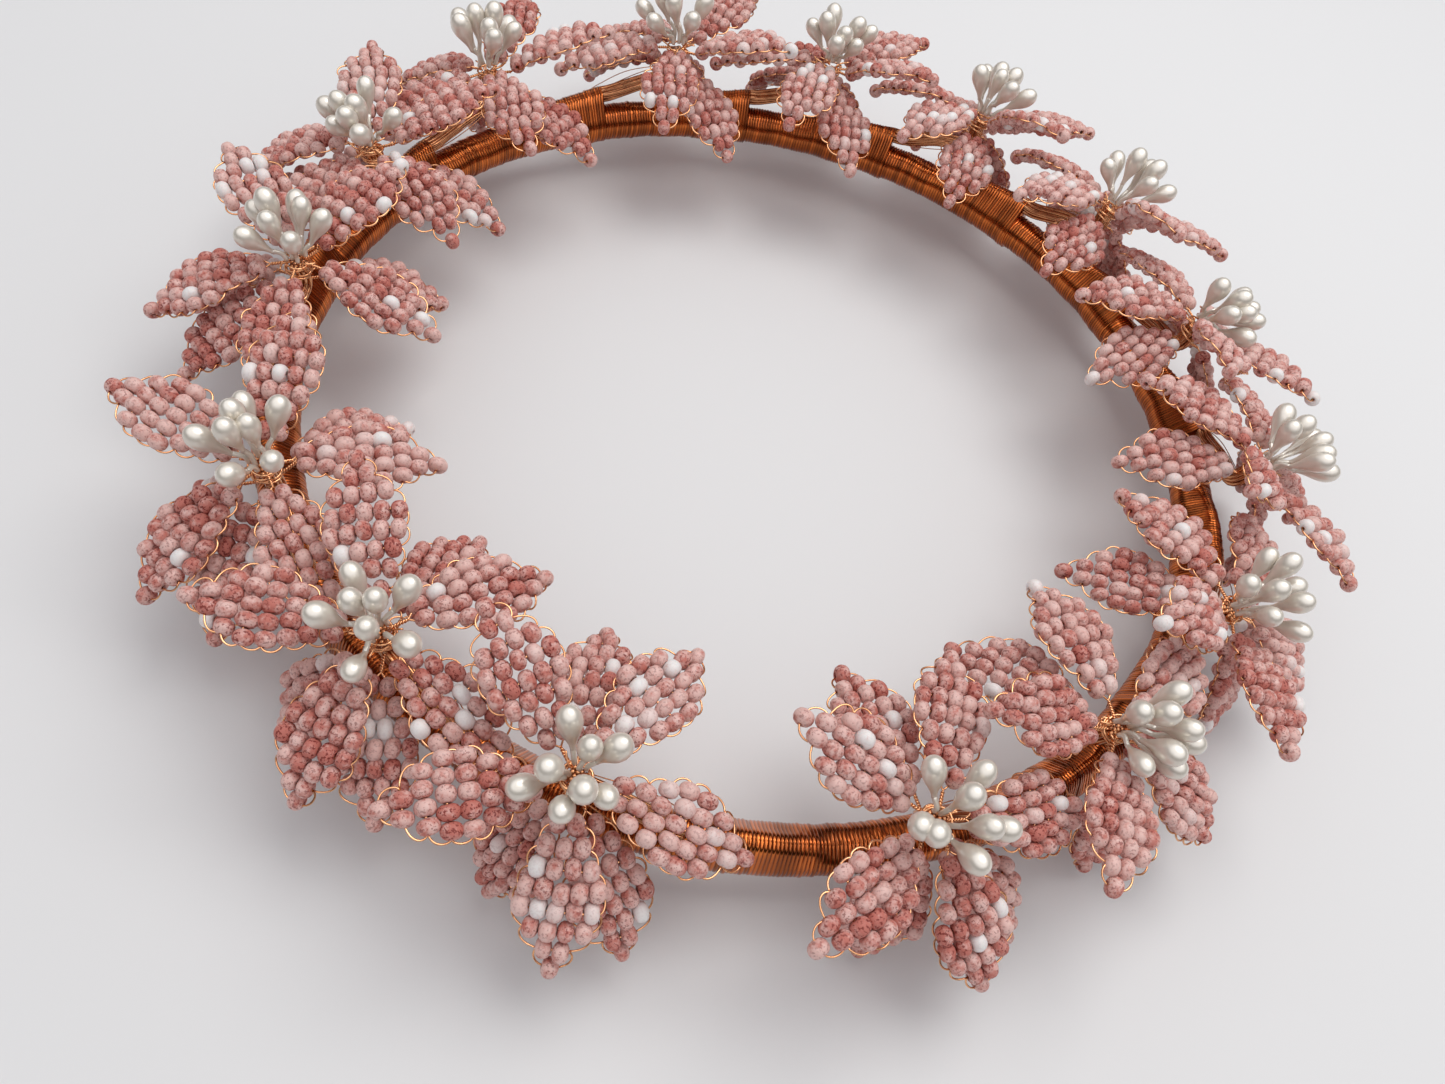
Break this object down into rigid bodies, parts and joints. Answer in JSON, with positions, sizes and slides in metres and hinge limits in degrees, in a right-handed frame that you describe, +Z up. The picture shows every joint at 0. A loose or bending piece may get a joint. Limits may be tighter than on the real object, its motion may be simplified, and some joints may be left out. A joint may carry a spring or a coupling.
{
  "type": "flower crown",
  "caption": "Closed wire-wound ring carrying bead-woven flowers with pearl stamens, each on a bendable wire stem; rests on the head or on a table.",
  "frame": {"origin": "centre of the head opening, on the centreline plane of the band", "axes": "+Z up along the axis of the head opening, with the flowers on the upper side; +X and +Y lie in the plane of the band"},
  "size_m": [0.2261, 0.2299, 0.0445],
  "materials": {
    "steel_wire": "plain drawn wire, hidden under the winding",
    "copper_winding": null,
    "copper_bundle": "parallel enamelled wires, glossy brown",
    "petal_beads": "opaque frosted glass seed beads, off-white mottled with dusty rose and brick red",
    "pearl": "cream nacre-coated stamen heads on cream stalks"
  },
  "bodies": {
    "band": {"hoop_wires": "steel_wire", "stem_tails": "copper_bundle", "band_winding": "copper_winding", "stem_lashings": "copper_winding", "stem_feet": "copper_bundle", "closure_lashing": "copper_winding"},
    "flower_01": {"flower_01_petals": "petal_beads", "flower_01_stamens": "pearl", "flower_01_stem": "copper_bundle"},
    "flower_02": {"flower_02_petals": "petal_beads", "flower_02_stamens": "pearl", "flower_02_stem": "copper_bundle"},
    "flower_03": {"flower_03_petals": "petal_beads", "flower_03_stamens": "pearl", "flower_03_stem": "copper_bundle"},
    "flower_04": {"flower_04_petals": "petal_beads", "flower_04_stamens": "pearl", "flower_04_stem": "copper_bundle"},
    "flower_05": {"flower_05_petals": "petal_beads", "flower_05_stamens": "pearl", "flower_05_stem": "copper_bundle"},
    "flower_06": {"flower_06_petals": "petal_beads", "flower_06_stamens": "pearl", "flower_06_stem": "copper_bundle"},
    "flower_07": {"flower_07_petals": "petal_beads", "flower_07_stamens": "pearl", "flower_07_stem": "copper_bundle"},
    "flower_08": {"flower_08_petals": "petal_beads", "flower_08_stamens": "pearl", "flower_08_stem": "copper_bundle"},
    "flower_09": {"flower_09_petals": "petal_beads", "flower_09_stamens": "pearl", "flower_09_stem": "copper_bundle"},
    "flower_10": {"flower_10_petals": "petal_beads", "flower_10_stamens": "pearl", "flower_10_stem": "copper_bundle"},
    "flower_11": {"flower_11_petals": "petal_beads", "flower_11_stamens": "pearl", "flower_11_stem": "copper_bundle"},
    "flower_12": {"flower_12_petals": "petal_beads", "flower_12_stamens": "pearl", "flower_12_stem": "copper_bundle"},
    "flower_13": {"flower_13_petals": "petal_beads", "flower_13_stamens": "pearl", "flower_13_stem": "copper_bundle"},
    "flower_14": {"flower_14_petals": "petal_beads", "flower_14_stamens": "pearl", "flower_14_stem": "copper_bundle"},
    "flower_15": {"flower_15_petals": "petal_beads", "flower_15_stamens": "pearl", "flower_15_stem": "copper_bundle"}
  },
  "joints": [
    {"name": "flower_01_bend", "type": "hinge", "parent": "band", "child": "flower_01", "pos_m": [-0.08226, 0.04012, 0.00658], "axis": [-0.4384, -0.8988, 0], "range_deg": [-5, 5]},
    {"name": "flower_02_bend", "type": "hinge", "parent": "band", "child": "flower_02", "pos_m": [-0.09135, 0.00559, 0.00658], "axis": [-0.061, -0.9981, 0], "range_deg": [-5, 5]},
    {"name": "flower_03_bend", "type": "hinge", "parent": "band", "child": "flower_03", "pos_m": [-0.08653, -0.02979, 0.00658], "axis": [0.3256, -0.9455, 0], "range_deg": [-5, 5]},
    {"name": "flower_04_bend", "type": "hinge", "parent": "band", "child": "flower_04", "pos_m": [-0.06064, -0.06854, 0.00658], "axis": [0.749, -0.6626, 0], "range_deg": [-5, 5]},
    {"name": "flower_05_bend", "type": "hinge", "parent": "band", "child": "flower_05", "pos_m": [-0.02979, -0.08653, 0.00658], "axis": [0.9455, -0.3256, 0], "range_deg": [-5, 5]},
    {"name": "flower_06_bend", "type": "hinge", "parent": "band", "child": "flower_06", "pos_m": [0.00559, -0.09135, 0.00658], "axis": [0.9981, 0.061, 0], "range_deg": [-5, 5]},
    {"name": "flower_07_bend", "type": "hinge", "parent": "band", "child": "flower_07", "pos_m": [0.05379, -0.07404, 0.00658], "axis": [0.809, 0.5878, 0], "range_deg": [-5, 5]},
    {"name": "flower_08_bend", "type": "hinge", "parent": "band", "child": "flower_08", "pos_m": [0.07803, -0.04782, 0.00658], "axis": [0.5225, 0.8526, 0], "range_deg": [-5, 5]},
    {"name": "flower_09_bend", "type": "hinge", "parent": "band", "child": "flower_09", "pos_m": [0.09039, -0.01432, 0.00658], "axis": [0.1564, 0.9877, 0], "range_deg": [-5, 5]},
    {"name": "flower_10_bend", "type": "hinge", "parent": "band", "child": "flower_10", "pos_m": [0.08899, 0.02136, 0.00658], "axis": [-0.2334, 0.9724, 0], "range_deg": [-5, 5]},
    {"name": "flower_11_bend", "type": "hinge", "parent": "band", "child": "flower_11", "pos_m": [0.07404, 0.05379, 0.00658], "axis": [-0.5878, 0.809, 0], "range_deg": [-5, 5]},
    {"name": "flower_12_bend", "type": "hinge", "parent": "band", "child": "flower_12", "pos_m": [0.04782, 0.07803, 0.00658], "axis": [-0.8526, 0.5225, 0], "range_deg": [-5, 5]},
    {"name": "flower_13_bend", "type": "hinge", "parent": "band", "child": "flower_13", "pos_m": [0.01432, 0.09039, 0.00658], "axis": [-0.9877, 0.1564, 0], "range_deg": [-5, 5]},
    {"name": "flower_14_bend", "type": "hinge", "parent": "band", "child": "flower_14", "pos_m": [-0.02136, 0.08899, 0.00658], "axis": [-0.9724, -0.2334, 0], "range_deg": [-5, 5]},
    {"name": "flower_15_bend", "type": "hinge", "parent": "band", "child": "flower_15", "pos_m": [-0.05379, 0.07404, 0.00658], "axis": [-0.809, -0.5878, 0], "range_deg": [-5, 5]}
  ]
}
